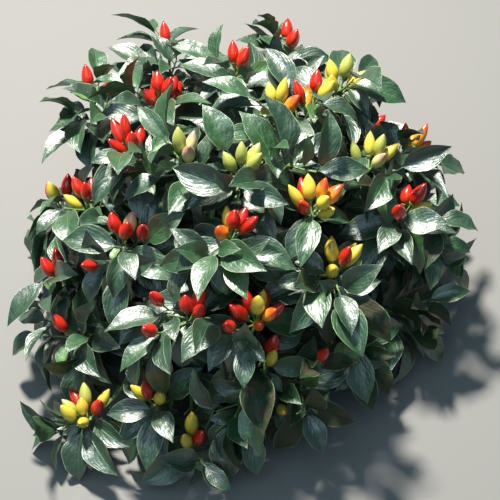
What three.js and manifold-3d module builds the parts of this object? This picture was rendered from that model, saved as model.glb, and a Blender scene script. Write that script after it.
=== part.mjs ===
// A bushy ornamental chilli plant: a short woody stem that forks into seven boughs, their side
// branches, and leafy masses that end in bunches of upright fruit. Millimetres, +Z up. The origin
// is the middle of the flat cut under the stem, at ground level.
import * as THREE from 'three';
import { mergeVertices } from 'three/addons/utils/BufferGeometryUtils.js';
import Module from 'manifold-3d';

const wasm = await Module();
wasm.setup();

// The crown that the leaf tips reach
const CROWN_HALF_WIDTH = 243;
const CROWN_HALF_DEPTH = 250;
const CROWN_HEIGHT = 300;
const CROWN_SHAPE = 3.4; // the exponent of the rounded, boxy outline
const GROUND_CLEARANCE = 3;

// The stem
const STEM_HEIGHT = 78;
const STEM_FOOT_RADIUS = 14; // over the root flare
const STEM_RADIUS = 8.6; // just above the flare
const STEM_TOP_RADIUS = 6.8;
const STEM_LEAN = new THREE.Vector3(5, -4, 0);
const FLARE_HEIGHT = 16;

// The limbs: radii at the base and at the tip
const BOUGH_RADII = [5.2, 3.4];
const BRANCH_RADII = [3.3, 2.4];
const SHOOT_RADII = [2.9, 1.8];
const TWIG_RADII = [1.8, 1.3];
const JOINT_GAP = 0.3;
const FINEST_EDGE = 0.02; // shorter edges, where pieces are fused, are merged
const BOUGH_HEIGHTS = [50, 68]; // boughs leave the stem at these heights in turn
const BOUGH_SWEEP = 34; // how far a bough heads outwards before it bends upwards
const BOUGH_RISE = 20;

// Leaves, petiole included
const LEAF_LENGTH = 77;
const LEAF_SLIMNESS = 0.215; // half the width over the length
const LEAF_THICKNESS = 2;
const LEAF_WIDEST = 0.45;
const BLADE_STATIONS = [[0.17, 0.38], [0.3, 0.85], [0.44, 1], [0.58, 0.88], [0.72, 0.62], [0.86, 0.32]];
const LEAVES_PER_SHOOT = 9;
const LEAVES_PER_TWIG = 3;
const LEAF_ATTEMPTS = 22;
const LEAF_CLEARANCE = 3;
const LIMB_CLEARANCE = 4;
const OVERHANG = 28; // how far a leaf may reach into the next mass's share of the crown
const ROOT_DEPTH = 0.8;
const TWIG_LENGTH = 30;
const GOLDEN_ANGLE = THREE.MathUtils.degToRad(137.5);

// Fruit
const FRUIT_LENGTH = 25;
const FRUIT_RADIUS = 6.2;
const PEDICEL_LENGTH = 13;
const PEDICEL_RADIUS = 1.1;
const BUNCH_LIMIT = 5; // a fuller bunch is thinned to this many

const SHOOT_LENGTH = 78; // from a mass's foot to the tip of its middle shoot
const FRUIT_DEPTH = 27; // from a shoot's tip to the middle of its fruit
const GROWTH_CENTRE = new THREE.Vector3(0, 0, 62); // the shoots fan out from here
const BUNCH_OUT = 0.6; // a bunch stands between straight out and straight up
const BUNCH_UP = 0.55;
const SUNWARD = new THREE.Vector3(0.1, 0.6, 0); // and leans to the light behind the plant

// Each bough carries the first mass of its group at its tip, and a side branch carries each of the
// others. A mass lists its shoots: the bearing of the fruit bunch in degrees, anticlockwise from +X,
// its reach from the stem, its height, and how many fruits it holds.
const BOUGHS = {
  centre: {
    crown: [[178, 62, 262, 3], [267, 24, 272, 4], [2, 50, 262, 0]],
  },
  front: {
    front_crown: [[262, 82, 250, 5]],
    front_flank: [[276, 142, 196, 8], [279, 164, 140, 2]],
    front_left_flank: [[248, 147, 190, 3]],
    front_skirt: [[268, 190, 96, 0], [293, 172, 104, 0]],
  },
  front_left: {
    left_front_shoulder: [[202, 137, 200, 4]],
    left_front_skirt: [[226, 250, 66, 8]],
    front_left_skirt: [[241, 201, 96, 3], [255, 215, 56, 3]],
    left_skirt: [[206, 208, 88, 1]],
  },
  left: {
    left_shoulder: [[160, 127, 226, 5]],
    left_flank: [[174, 168, 172, 4], [190, 206, 102, 2]],
    back_left_shoulder: [[130, 140, 230, 6]],
  },
  back: {
    back_shoulder: [[94, 142, 232, 3]],
    back_left_skirt: [[138, 224, 184, 1], [160, 226, 84, 3]],
    back_flank: [[112, 222, 194, 1], [124, 226, 92, 4]],
    back_skirt: [[78, 222, 190, 3], [95, 226, 90, 2]],
  },
  back_right: {
    back_crown: [[62, 73, 258, 3], [50, 113, 248, 5]],
    back_right_shoulder: [[51, 165, 227, 6]],
    right_back_flank: [[24, 196, 172, 4]],
    back_right_skirt: [[50, 216, 112, 3], [27, 222, 66, 1]],
  },
  right: {
    right_crown: [[323, 90, 258, 9]],
    right_shoulder: [[13, 139, 218, 6]],
    right_flank: [[0, 170, 180, 3], [2, 206, 112, 1]],
    right_front_flank: [[316, 134, 208, 6]],
    right_front_skirt: [[316, 164, 116, 0], [342, 188, 86, 0]],
  },
};
const BOUGH_BEARINGS = { front: 268, front_left: 222, left: 158, back: 104, back_right: 48, right: 336 };

const UP = new THREE.Vector3(0, 0, 1);

// A seeded source of even random numbers from 0 to 1.
function randomFrom(seed) {
  let state = Math.imul(seed + 1, 747796405) >>> 0;
  return () => {
    state = (Math.imul(state, 1664525) + 1013904223) >>> 0;
    return state / 4294967296;
  };
}

function mix(a, b, t) {
  return a + (b - a) * t;
}

function polar(bearing, reach, height) {
  const angle = THREE.MathUtils.degToRad(bearing);
  return new THREE.Vector3(reach * Math.cos(angle), reach * Math.sin(angle), height);
}

// A unit vector square to the axis, turned about it by the angle.
function sideways(axis, angle) {
  const flat = Math.abs(axis.z) < 0.9 ? UP : new THREE.Vector3(1, 0, 0);
  const across = new THREE.Vector3().crossVectors(axis, flat).normalize();
  return across.applyAxisAngle(axis, angle);
}

function solidOf(geometry) {
  geometry.deleteAttribute('normal');
  geometry.deleteAttribute('uv');
  const merged = mergeVertices(geometry, 1e-4);
  return new wasm.Manifold(new wasm.Mesh({
    numProp: 3,
    vertProperties: merged.attributes.position.array,
    triVerts: new Uint32Array(merged.index.array),
  }));
}

function geometryOf(solid) {
  const mesh = solid.getMesh();
  const geometry = new THREE.BufferGeometry();
  geometry.setAttribute('position', new THREE.BufferAttribute(mesh.vertProperties, 3));
  geometry.setIndex(new THREE.BufferAttribute(mesh.triVerts, 1));
  geometry.computeVertexNormals();
  return geometry;
}

// The largest piece, without the loose scraps and sealed hollows that a cut or a join leaves.
function mainPiece(solid) {
  return solid.decompose().reduce((best, piece) => (piece.volume() > best.volume() ? piece : best));
}

// A solid of revolution whose axis is bent along a curve. The profile holds pairs of radius and
// share of the curve's length.
function bentLathe(curve, profile, sides) {
  const points = [[0, 0], ...profile, [0, 1]].map(([radius, share]) => new THREE.Vector2(radius, share));
  const lathe = new THREE.LatheGeometry(points, sides);
  const ends = new THREE.Vector3().subVectors(curve.v2, curve.v0);
  const bend = new THREE.Vector3().subVectors(curve.v1, curve.v0).cross(ends);
  const normal = bend.length() > 1e-6 * ends.lengthSq() ? bend.normalize() : sideways(ends.normalize(), 0);
  const position = lathe.attributes.position;
  for (let i = 0; i < position.count; i++) {
    const share = position.getY(i);
    const tangent = curve.getTangent(share);
    const binormal = new THREE.Vector3().crossVectors(normal, tangent);
    const moved = curve.getPoint(share)
      .addScaledVector(normal, position.getX(i))
      .addScaledVector(binormal, position.getZ(i));
    position.setXYZ(i, moved.x, moved.y, moved.z);
  }
  return solidOf(lathe);
}

// A tapering limb, which knows its axis and radius for the leaves that must stay clear of it.
function limb(curve, [baseRadius, tipRadius], sides, rings, swelling = 0) {
  const profile = [];
  for (let i = 0; i <= rings; i++) {
    const share = i / rings;
    profile.push([mix(baseRadius, tipRadius, share) + swelling, share]);
  }
  return bentLathe(curve, profile, sides);
}

function stemCurve() {
  const top = new THREE.Vector3(0, 0, STEM_HEIGHT).add(STEM_LEAN);
  const middle = new THREE.Vector3(0, 0, STEM_HEIGHT * 0.55);
  return new THREE.QuadraticBezierCurve3(new THREE.Vector3(), middle, top);
}

function stemProfile(swelling = 0) {
  const profile = [];
  const rings = 6;
  for (let i = 0; i <= rings; i++) {
    const share = i / rings;
    const flare = Math.max(0, 1 - (share * STEM_HEIGHT) / FLARE_HEIGHT) ** 2;
    const radius = mix(STEM_RADIUS, STEM_TOP_RADIUS, share) + (STEM_FOOT_RADIUS - STEM_RADIUS) * flare;
    profile.push([radius + swelling, share]);
  }
  return profile;
}

// Where the shoots of a mass end, below their fruit, and the foot that they spring from.
function planMass(name, rows) {
  const shoots = rows.map(([bearing, reach, height, fruits]) => {
    const bunch = polar(bearing, reach, height);
    const outward = bunch.clone().sub(GROWTH_CENTRE).normalize();
    const heading = outward.clone().multiplyScalar(BUNCH_OUT).addScaledVector(UP, BUNCH_UP)
      .add(SUNWARD).normalize();
    const tip = bunch.clone().addScaledVector(heading, -FRUIT_DEPTH);
    return { tip, outward, heading, fruits };
  });
  const middle = new THREE.Vector3();
  shoots.forEach((shoot) => middle.addScaledVector(shoot.tip, 1 / shoots.length));
  const inward = GROWTH_CENTRE.clone().sub(middle).normalize();
  const backwards = Math.min(SHOOT_LENGTH - FRUIT_DEPTH, middle.distanceTo(GROWTH_CENTRE) * 0.5);
  const foot = middle.clone().addScaledVector(inward, backwards);
  foot.z = Math.max(foot.z - 6, 22);
  shoots.forEach((shoot) => {
    const handle = foot.clone().lerp(shoot.tip, 0.5).addScaledVector(UP, -7);
    shoot.curve = new THREE.QuadraticBezierCurve3(foot, handle, shoot.tip);
  });
  return { name, foot, shoots, pieces: [] };
}

// The limb from a point on its parent to the foot of a mass: it leaves outwards and then rises.
function limbCurve(start, mass) {
  const heading = mass.shoots[0].curve.getTangent(0);
  const span = start.distanceTo(mass.foot);
  const handle = mass.foot.clone().addScaledVector(heading, -span * 0.45);
  return new THREE.QuadraticBezierCurve3(start, handle, mass.foot);
}

function planPlant() {
  const masses = [];
  const limbs = [];
  const stem = stemCurve();
  Object.entries(BOUGHS).forEach(([boughName, group], boughIndex) => {
    const planned = Object.entries(group).map(([name, rows]) => planMass(name, rows));
    masses.push(...planned);
    const bearing = BOUGH_BEARINGS[boughName];
    let curve = limbCurve(stem.getPoint(1).addScaledVector(UP, JOINT_GAP), planned[0]);
    if (bearing) {
      const start = stem.getPoint(BOUGH_HEIGHTS[boughIndex % 2] / STEM_HEIGHT);
      const handle = start.clone().add(polar(bearing, BOUGH_SWEEP, BOUGH_RISE));
      curve = new THREE.QuadraticBezierCurve3(start, handle, planned[0].foot);
    }
    const bough = { name: `bough_${boughName}`, curve, radii: BOUGH_RADII, parent: null };
    limbs.push(bough);
    planned.slice(1).forEach((mass, i) => {
      const low = mass.foot.z < 90;
      const share = low ? 0.3 + 0.09 * i : 0.5 + 0.12 * i;
      const from = curve.getPoint(share);
      const branchCurve = limbCurve(from, mass);
      limbs.push({ name: `branch_${mass.name}`, curve: branchCurve, radii: BRANCH_RADII, parent: bough });
    });
  });
  return { stem, masses, limbs };
}

const plant = planPlant();

// Stops a limb short of the foot of its mass.
function shortened(curve, gap) {
  const end = curve.v2.clone().addScaledVector(curve.getTangent(1), -gap);
  return new THREE.QuadraticBezierCurve3(curve.v0, curve.v1, end);
}

// Points along every limb, each with the limb's radius there, and over all that grows on them.
const grownBeads = [];
const limbBeads = [];
plant.limbs.forEach(({ curve, radii }) => {
  for (let i = 0; i <= 24; i++) limbBeads.push([curve.getPoint(i / 24), mix(...radii, i / 24)]);
});
for (let i = 0; i <= 12; i++) limbBeads.push([plant.stem.getPoint(i / 12), STEM_RADIUS]);

// The length of the way from a point to the nearest shoot of a mass.
function distanceToMass(point, mass) {
  return Math.min(...mass.shoots.map(({ tip }) => {
    const line = new THREE.Line3(mass.foot, tip);
    return line.closestPointToPoint(point, true, new THREE.Vector3()).distanceTo(point);
  }));
}

function insideCrown(point) {
  const x = Math.abs(point.x / CROWN_HALF_WIDTH) ** CROWN_SHAPE;
  const y = Math.abs(point.y / CROWN_HALF_DEPTH) ** CROWN_SHAPE;
  const z = Math.abs(point.z / CROWN_HEIGHT) ** CROWN_SHAPE;
  return point.z > GROUND_CLEARANCE && x + y + z < 1;
}

// A mass keeps to the points that lie nearer to its own shoots than to any other mass's, give or
// take a leaf's overhang.
function inOwnSpace(point, mass) {
  const own = distanceToMass(point, mass) - OVERHANG;
  const others = plant.masses.filter((other) => other !== mass);
  return insideCrown(point) && others.every((other) => distanceToMass(point, other) > own);
}

// Beads are pairs of a point and a radius, set along everything that has grown.
function clearOf(beads, point, clearance) {
  return beads.every(([bead, radius]) => bead.distanceTo(point) > radius + clearance);
}

// Points on a leaf, by share of its length, share of its half width and height over its midrib.
// It grows along a direction, has its upper side to the face vector, and droops towards its tip.
function leafPlacer(root, direction, face, length, droop) {
  const along = direction.clone().normalize();
  const normal = face.clone().addScaledVector(along, -face.dot(along)).normalize();
  const across = new THREE.Vector3().crossVectors(normal, along);
  const halfWidth = length * LEAF_SLIMNESS;
  return (share, side, lift) => root.clone()
    .addScaledVector(along, share * length)
    .addScaledVector(across, side * halfWidth)
    .addScaledVector(normal, lift - droop * share * share * length);
}

function leafBeads(place) {
  const points = BLADE_STATIONS.flatMap(([share, width]) => (
    [-1, -0.5, 0, 0.5, 1].map((side) => place(share, side * width, 0))
  ));
  return [...points, place(1, 0, 0)];
}

// A six-sided blade with a ridge along the midrib: root, tip, both sides and the ridge.
function leafSolid(place) {
  const ends = [place(0, 0, 0), place(1, 0, 0)];
  const sides = [place(LEAF_WIDEST, 1, 0), place(LEAF_WIDEST, -1, 0)];
  const ridge = place(LEAF_WIDEST, 0, LEAF_THICKNESS);
  const blade = new THREE.BufferGeometry().setFromPoints([...ends, ...sides, ridge]);
  blade.setIndex([0, 3, 4, 0, 4, 2, 1, 4, 3, 1, 2, 4, 0, 2, 3, 1, 3, 2]);
  return solidOf(blade);
}

// Tries a leaf at its planned angles, then turned and steeper, and skips it when none fits.
function growLeaf(mass, root, axis, turn, spread, length, droop) {
  for (let attempt = 0; attempt < LEAF_ATTEMPTS; attempt++) {
    const swing = turn + (attempt % 2 ? 1 : -1) * 0.2 * attempt;
    const lean = spread + 0.2 * ((attempt % 3) - 1) * Math.min(1, attempt);
    const direction = axis.clone().multiplyScalar(Math.cos(lean))
      .addScaledVector(sideways(axis, swing), Math.sin(lean))
      .addScaledVector(UP, -0.15);
    const face = axis.clone().addScaledVector(UP, 0.7);
    const sunk = root.clone().addScaledVector(direction, -ROOT_DEPTH);
    const place = leafPlacer(sunk, direction, face, length * (1 - 0.012 * attempt), droop);
    const beads = leafBeads(place);
    const fits = beads.every((bead) => (
      inOwnSpace(bead, mass) && clearOf(limbBeads, bead, LIMB_CLEARANCE)
        && clearOf(grownBeads, bead, LEAF_CLEARANCE)
    ));
    if (!fits) continue;
    grownBeads.push(...beads.map((bead) => [bead, LEAF_CLEARANCE]));
    mass.pieces.push(leafSolid(place));
    return;
  }
}

// A fruit on its pedicel, turned as one piece.
function growFruit(mass, root, direction, random) {
  const length = FRUIT_LENGTH * mix(0.82, 1.12, random());
  const radius = FRUIT_RADIUS * mix(0.88, 1.05, random());
  const total = PEDICEL_LENGTH + length;
  const along = (share) => root.clone().addScaledVector(direction, total * share);
  const neck = PEDICEL_LENGTH / total;
  const profile = [
    [PEDICEL_RADIUS, neck * 0.9],
    [radius, mix(neck, 1, 0.3)],
    [radius * 0.74, mix(neck, 1, 0.68)],
  ];
  const straight = new THREE.QuadraticBezierCurve3(root, along(0.5), along(1));
  mass.pieces.push(bentLathe(straight, profile, 5));
  [0.5, 0.8].forEach((share) => grownBeads.push([along(neck * share), PEDICEL_RADIUS]));
  [0.3, 0.6, 0.9].forEach((share) => grownBeads.push([along(mix(neck, 1, share)), radius]));
}

// The first fruit ends the shoot, and the others stand round it from a little lower down.
function growBunch(mass, shoot) {
  const first = shoot.random() * Math.PI * 2;
  for (let i = 0; i < Math.min(shoot.fruits, BUNCH_LIMIT); i++) {
    const spread = i === 0 ? 0.12 : 0.42 + 0.07 * i;
    const direction = shoot.heading.clone().multiplyScalar(Math.cos(spread))
      .addScaledVector(sideways(shoot.heading, first + i * GOLDEN_ANGLE), Math.sin(spread));
    growFruit(mass, shoot.curve.getPoint(0.98 - 0.055 * i), direction, shoot.random);
  }
}

// A side twig in the mass's own space, which ends in leaves of its own.
function growTwig(mass, shoot) {
  const fork = 0.4 + 0.2 * shoot.random();
  const turn = shoot.random() * Math.PI * 2;
  const axis = shoot.curve.getTangent(fork);
  const root = shoot.curve.getPoint(fork);
  for (let attempt = 0; attempt < 8; attempt++) {
    const heading = axis.clone().addScaledVector(sideways(axis, turn + attempt * 0.8), 0.9).normalize();
    const tip = root.clone().addScaledVector(heading, TWIG_LENGTH);
    const fits = [0.5, 0.75, 1].every((share) => {
      const point = root.clone().lerp(tip, share);
      return inOwnSpace(point, mass) && clearOf(limbBeads, point, LIMB_CLEARANCE)
        && clearOf(grownBeads, point, LEAF_CLEARANCE);
    });
    if (!fits) continue;
    const handle = root.clone().lerp(tip, 0.5).addScaledVector(axis, -3);
    shoot.twig = new THREE.QuadraticBezierCurve3(root, handle, tip);
    mass.pieces.push(limb(shoot.twig, TWIG_RADII, 3, 1));
    for (let i = 1; i <= 4; i++) grownBeads.push([shoot.twig.getPoint(i / 4), TWIG_RADII[0]]);
    return;
  }
}

function growShootLeaf(mass, shoot, i) {
  const height = (i + 0.5) / LEAVES_PER_SHOOT;
  const share = mix(0.96, 0.25, height);
  const spread = mix(0.5, 1.5, height) + 0.5 * shoot.outward.z + 0.25 * (shoot.random() - 0.5);
  const length = LEAF_LENGTH * mix(0.86, 1.06, shoot.random());
  const droop = mix(0.12, 0.3, height) * mix(0.6, 1.3, shoot.random());
  const axis = shoot.curve.getTangent(share);
  growLeaf(mass, shoot.curve.getPoint(share), axis, shoot.turn + i * GOLDEN_ANGLE, spread, length, droop);
}

function growTwigLeaf(mass, shoot, i) {
  if (!shoot.twig) return;
  const share = mix(0.97, 0.6, i / (LEAVES_PER_TWIG - 1));
  const length = LEAF_LENGTH * mix(0.8, 1, shoot.random());
  const axis = shoot.twig.getTangent(share);
  growLeaf(mass, shoot.twig.getPoint(share), axis, shoot.turn + i * GOLDEN_ANGLE, 0.9, length, 0.2);
}

// Everything grows in turn, shoot by shoot, so that no mass takes its neighbours' light.
function growMasses() {
  const shoots = plant.masses.flatMap((mass) => mass.shoots.map((shoot) => [mass, shoot]));
  shoots.forEach(([mass, shoot], index) => {
    shoot.random = randomFrom(index * 97 + 5);
    shoot.turn = Math.PI / 2 + 0.6 * (shoot.random() - 0.5);
    mass.pieces.push(limb(shoot.curve, SHOOT_RADII, 3, 2));
    for (let i = 0; i <= 14; i++) grownBeads.push([shoot.curve.getPoint(i / 14), SHOOT_RADII[0]]);
    growBunch(mass, shoot);
  });
  shoots.forEach(([mass, shoot]) => growTwig(mass, shoot));
  for (let i = 0; i < LEAVES_PER_SHOOT; i++) {
    shoots.forEach(([mass, shoot]) => growShootLeaf(mass, shoot, i));
  }
  for (let i = 0; i < LEAVES_PER_TWIG; i++) {
    shoots.forEach(([mass, shoot]) => growTwigLeaf(mass, shoot, i));
  }
}

const bark = new THREE.MeshStandardMaterial({ color: 0x6f6248, roughness: 0.85, metalness: 0 });
const greenWood = new THREE.MeshStandardMaterial({ color: 0x55703a, roughness: 0.7, metalness: 0 });
const foliage = new THREE.MeshStandardMaterial({ color: 0x2c5232, roughness: 0.45, metalness: 0 });

const root = new THREE.Group();

function addNode(name, solid, material) {
  const mesh = new THREE.Mesh(geometryOf(solid), material);
  mesh.name = name;
  root.add(mesh);
}

// Each limb is cut clear of all that stand before it.
addNode('main_stem', bentLathe(plant.stem, stemProfile(), 10), bark);
let taken = bentLathe(plant.stem, stemProfile(JOINT_GAP), 10);
for (const { name, curve, radii, parent } of plant.limbs) {
  const sides = parent ? 5 : 6;
  const solid = limb(shortened(curve, JOINT_GAP), radii, sides, 4).subtract(taken);
  addNode(name, mainPiece(solid), parent ? greenWood : bark);
  taken = taken.add(limb(curve, radii, sides, 4, JOINT_GAP));
}
growMasses();
for (const { name, pieces } of plant.masses) {
  const joined = wasm.Manifold.union(pieces).subtract(taken).simplify(FINEST_EDGE);
  addNode(`foliage_${name}`, mainPiece(joined), foliage);
}

export default root;
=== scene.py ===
"""An ornamental chilli plant: stem and boughs in bark, green branches and shoots, leaves with
their veins, and upright bunches of waxy fruit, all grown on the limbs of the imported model.
Growth is worked out in millimetres, and meshes are made in metres."""
import math
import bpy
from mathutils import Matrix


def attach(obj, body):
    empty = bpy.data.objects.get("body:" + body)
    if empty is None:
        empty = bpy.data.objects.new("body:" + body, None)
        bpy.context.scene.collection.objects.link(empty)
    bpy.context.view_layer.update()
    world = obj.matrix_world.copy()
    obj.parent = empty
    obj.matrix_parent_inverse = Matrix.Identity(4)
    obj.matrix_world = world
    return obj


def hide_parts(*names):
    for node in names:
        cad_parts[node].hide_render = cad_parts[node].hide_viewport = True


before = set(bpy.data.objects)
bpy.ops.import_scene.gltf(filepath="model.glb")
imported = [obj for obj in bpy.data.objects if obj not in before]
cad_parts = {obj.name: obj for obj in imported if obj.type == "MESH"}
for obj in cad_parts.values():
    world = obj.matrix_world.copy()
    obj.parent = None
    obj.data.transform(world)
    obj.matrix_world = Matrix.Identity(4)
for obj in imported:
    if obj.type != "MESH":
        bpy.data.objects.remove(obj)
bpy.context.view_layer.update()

from types import SimpleNamespace

import bmesh
import bpy
import numpy as np
from mathutils import Matrix, Quaternion, Vector

MM = 0.001
UP = Vector((0, 0, 1))
GOLDEN_ANGLE = math.radians(137.5)

# The crown that the leaf tips reach
CROWN_HALF_WIDTH = 241
CROWN_HALF_DEPTH = 254
CROWN_HEIGHT = 293
CROWN_SHAPE = 3.8
GROUND_CLEARANCE = 3

# The stem
STEM_HEIGHT = 78
STEM_FOOT_RADIUS = 14
STEM_RADIUS = 8.6
STEM_TOP_RADIUS = 6.8
STEM_LEAN = Vector((5, -4, 0))
STEM_HANDLE_SHARE = 0.55
FLARE_HEIGHT = 16

# The limbs: radii at the base and at the tip
BOUGH_RADII = (5.2, 3.4)
BRANCH_RADII = (3.3, 2.4)
SHOOT_RADII = (2.1, 1.3)
TWIG_RADII = (1.35, 0.8)
BOUGH_HEIGHTS = (50, 68)
BOUGH_SWEEP = 34
BOUGH_RISE = 20
LIMB_HANDLE_SHARE = 0.45
CENTRE_BOUGH_FORK = 0.97

# Where side branches fork from their bough, for low and for high masses, and from one to the next
LOW_MASS_HEIGHT = 90
LOW_FORK, LOW_FORK_STEP = 0.3, 0.09
HIGH_FORK, HIGH_FORK_STEP = 0.5, 0.12

# Shoots, which end below their fruit
SHOOT_LENGTH = 78
FRUIT_DEPTH = 27
GROWTH_CENTRE = Vector((0, 0, 62))
FOOT_SHARE = 0.5
FOOT_DROP = 6
LOWEST_FOOT = 22
SHOOT_SAG = 7
SHOOT_FACING = math.pi / 2
SHOOT_TURN = 0.6

# Leaves, petiole included, where a range gives the least and the most of what varies
LEAF_LENGTH = 70
LEAF_SLIMNESS = 0.222
SLIMNESS_RANGE = (0.84, 1.16)
PETIOLE_SHARE = 0.14
PETIOLE_RADIUS = 0.8
BLADE_WIDEST = 0.8
BLADE_FULLNESS, BLADE_POINT = 0.8, 0.38
DROOP_GROWTH = 1.4
LEAF_TWIST = 0.8
LEAF_FOLD = 0.75
FOLD_RANGE = (0.45, 1.35)
FOLD_ROUNDING = 0.3
WAVE_RANGE = (0.6, 2.1)
WAVE_RATE = 17
WAVE_TURN = 6.28
SIDE_SHIFT = 2
WAVE_HALF_WIDTH = 15
LEAF_TAKES = 1.2

# Where a leaf may grow
LEAF_ATTEMPTS = 26
SWING_STEP = 0.2
LEAN_STEP = 0.2
SHRINK_STEP = 0.012
FACE_UP = 0.7
LEAF_CROWDING = 0.08
LIGHT_CROWDING = 0.03
OVERHANG = 45

# How leaves hang: by the reach and the height of their root
LEAST_HANG = 0.12
FLANK_HANG = 0.33
LEFT_HANG = 0.7
LEFT_FLANK = -110
FLANK_REACH = 90
SUNNY_SIDE = 100
HANG_HEIGHT, HANG_SPAN = 0.45, 0.3
STRONG_HANG = 0.45
HANG_NARROWING = 0.4

# How leaves are dealt out to the tones
LOW_FRONT_TOP, LOW_FRONT_BACK, LOW_FRONT_LEFT = 165, -50, -10
DUSTY_LOW_FRONT = 0.55
DUSTY_ELSEWHERE = 0.02
# A bright yellow-green tone is painted light shining through leaves from behind, dealt more often
# towards the top
BACKLIT_AT_TOP = 0.08
DEEP_BELOW, DEEP_AT_TOP = 0.8, 0.55

# The leaves of a shoot, from its tip down
LEAVES_PER_SHOOT = 15
SHOOT_LEAF_PLACES = (0.97, 0.2)
FRUITING_SPREAD, LEAFY_SPREAD, LOWEST_SPREAD = 1.0, 0.55, 1.5
OUTWARD_SPREAD = 0.35
SPREAD_RANGE = 0.25
SHOOT_LEAF_SIZES = (0.72, 1.08)
SHOOT_LEAF_BENDS = (0.6, 1.2)
BEND_RANGE = (0.5, 1.4)

# Side twigs and their leaves
TWIGS_PER_SHOOT = 5
TWIG_ATTEMPTS = 8
TWIG_LENGTHS = (24, 38)
TWIG_FORK, TWIG_FORK_STEP, TWIG_FORK_RANGE = 0.25, 0.16, 0.08
TWIG_TURN, TWIG_TURN_STEP = 2, 0.8
TWIG_SPREAD = 0.95
TWIG_SAG = 3
TWIG_PROBES = (0.4, 0.6, 0.8, 1)
TWIG_TAKES_FROM = 0.2
LEAVES_PER_TWIG = 5
TWIG_LEAF_PLACES = (0.99, 0.45)
TWIG_LEAF_SIZES = (0.55, 0.98)
TWIG_LEAF_SPREADS = (0.75, 1.2)
TWIG_END_SPREAD = 0.25
TWIG_LEAF_TURN = 1
TWIG_LEAF_BEND = 0.7

# Leaves on the green branches
LEAVES_PER_LIMB = 7
LIMB_LEAF_PLACES = (0.98, 0.45)
LIMB_LEAF_SIZES = (0.8, 1.05)
LIMB_LEAF_SPREAD = 1.1
LIMB_LEAF_BEND = 0.5

# Young leaves among the fruit, after the first few rounds of full-grown ones
YOUNG_LEAVES = 3
YOUNG_AFTER = 2
YOUNG_PLACE, YOUNG_PLACE_STEP = 0.98, 0.04
YOUNG_LENGTHS = (20, 38)
YOUNG_TURN, YOUNG_TURN_STEP = 1.2, 2.1
YOUNG_CHANCE = 0.4
YOUNG_SPREAD = 0.65
YOUNG_BEND = 0.3

# Fruit
FRUIT_LENGTH = 25.5
FRUIT_LENGTH_RANGE = (0.84, 1.12)
FRUIT_RADIUS = 6.7
FRUIT_RADIUS_RANGE = (0.82, 1.06)
FRUIT_FLATNESS = 0.96
FRUIT_WIDEST = 0.8
FRUIT_FULLNESS, FRUIT_POINT = 0.58, 0.28
PEDICEL_LENGTH = 12
PEDICEL_LENGTH_RANGE = (0.9, 1.2)
PEDICEL_RADIUS = 0.95
PEDICEL_HANDLE = 0.55
PEDICEL_SAG = 1.0
PEDICEL_TAKES_FROM = 0.3
CALYX_DEPTH = 1.2
CALYX_RADIUS = 3.7
CALYX_START = 0.72
CALYX_FLARE = 1.6

# How the fruit of a bunch stand
FRUIT_TRIES = 14
FRUIT_ROOT, FRUIT_ROOT_STEP, FRUIT_ROOTS = 0.98, 0.05, 5
FIRST_SPREAD = 0.1
RING_SPREAD, RING_SPREAD_STEP = 0.42, 0.06
TRY_SPREAD, TRY_TURN = 0.03, 0.45
FRUIT_UPRIGHT = 0.2
FRUIT_TOUCH = 0.4
FRUIT_TAKES = 0.7
FRUIT_KEEPS = 0.6

# The air above a bunch, from this share of each fruit on
FRUIT_CLEARANCE = 7.5
OPEN_FROM = 0.3
OPEN_ABOVE = Vector((0, -20, 36))

# Single fruit at the ends of twigs
SINGLE_FRUIT_CHANCE = 0.4
SINGLE_FRUIT_DEPTH = 1.22
SINGLE_FRUIT_UP = 0.7
SINGLE_FRUIT_REACH = 30
SINGLE_FRUIT_PROBES = (15, 22, 30, 36)
SINGLE_FRUIT_ROOM = 3
SINGLE_FRUITS = "RRRRRRRYYO"

# Tubes: how many sides and rings, the depth of their ridges, the collar where they leave their
# parent, and a seed for the ridges
STEM_TUBE = SimpleNamespace(sides=40, rings=30, ridge=0.22, seed=3)
BOUGH_TUBE = SimpleNamespace(sides=22, rings=30, ridge=0.12, seed=7, collar=1.3)
BRANCH_TUBE = SimpleNamespace(sides=14, rings=20, ridge=0.06, seed=7, collar=0.9)
SHOOT_TUBE = SimpleNamespace(sides=10, rings=12, ridge=0.04, seed=5, collar=0.5)
TWIG_TUBE = SimpleNamespace(sides=7, rings=6, collar=0.3)
PEDICEL_TUBE = SimpleNamespace(sides=10, rings=9)
COLLAR_FADE = 14
SWELLING, SWELLING_FADE = 0.25, 20
RIDGES, FINE_RIDGES, FINE_SHARE = 5, 9, 0.6
WANDER, WANDER_RATE = 0.5, 5
KNOTS_ALONG, KNOTS_ROUND, KNOT_SHARE = 24, 2, 0.7

# Faces of leaves and fruit
BLADE_ROWS = 12
BLADE_COLUMNS = 4
PETIOLE_ROWS = 2
FRUIT_SIDES = 12
FRUIT_RINGS = 11
MERGE_DISTANCE = 1e-3

# Seeds of what grows, each a step and a start
SHOOT_SEEDS = (97, 5)
LIMB_SEEDS = (61, 11)

# A bunch stands between straight out and straight up, and leans to the light behind the plant
BUNCH_OUT = 0.6
BUNCH_UP = 0.55
SUNWARD = Vector((0.1, 0.6, 0))

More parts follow.
